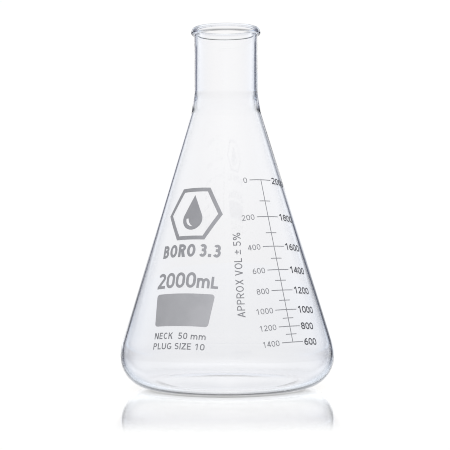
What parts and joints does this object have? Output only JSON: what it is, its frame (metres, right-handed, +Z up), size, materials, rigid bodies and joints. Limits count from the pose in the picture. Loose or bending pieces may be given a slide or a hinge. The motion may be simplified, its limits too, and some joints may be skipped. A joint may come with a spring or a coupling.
{
  "type": "conical flask",
  "caption": "Clear glass conical laboratory flask with a narrow straight neck, beaded rim, rounded heel, printed volume scale and marking spot, for mixing, heating and storing liquids.",
  "frame": {"origin": "centre of the resting ring, on the surface the flask stands on", "axes": "+Z up the flask's axis and out of its mouth; the print faces -Y, with the scale towards +X"},
  "size_m": [0.166, 0.166, 0.28],
  "materials": {
    "borosilicate_glass": "clear, fire-polished",
    "enamel_grey": "fired grey enamel, satin",
    "enamel_dark": "fired dark grey enamel, satin"
  },
  "bodies": {
    "root": {"flask_body": "borosilicate_glass", "scale_ticks": "enamel_dark", "content_numerals": "enamel_dark", "remaining_numerals": "enamel_dark", "capacity_legend": "enamel_grey", "marking_spot": "enamel_grey", "size_legend": "enamel_dark", "plug_legend": "enamel_dark", "glass_legend": "enamel_grey", "tolerance_legend": "enamel_dark", "emblem": "enamel_grey"}
  },
  "joints": []
}
